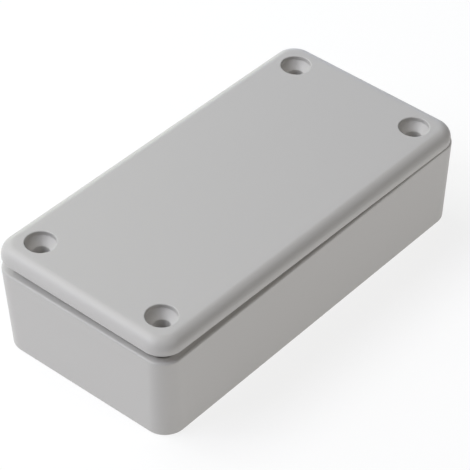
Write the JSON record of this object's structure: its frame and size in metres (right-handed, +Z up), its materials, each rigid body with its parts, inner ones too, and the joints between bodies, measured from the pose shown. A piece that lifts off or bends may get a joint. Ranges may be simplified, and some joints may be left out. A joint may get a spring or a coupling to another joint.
{
  "type": "plastic project box",
  "caption": "Small rectangular two-part plastic enclosure with rounded corners, a loose screw-down lid with recessed corner holes, and internal screw pillars and board slots.",
  "frame": {"origin": "middle of the underside of the base, on the surface it stands on", "axes": "+X along the length, from the end where the lid is raised to the end where it is down; +Y across the width; +Z up"},
  "size_m": [0.1001, 0.0501, 0.0281],
  "materials": {
    "base_abs": "fine matt moulded texture, light grey",
    "lid_abs": "fine matt moulded texture, light grey"
  },
  "bodies": {
    "root": {"base": "base_abs", "lid": "lid_abs"}
  },
  "joints": []
}
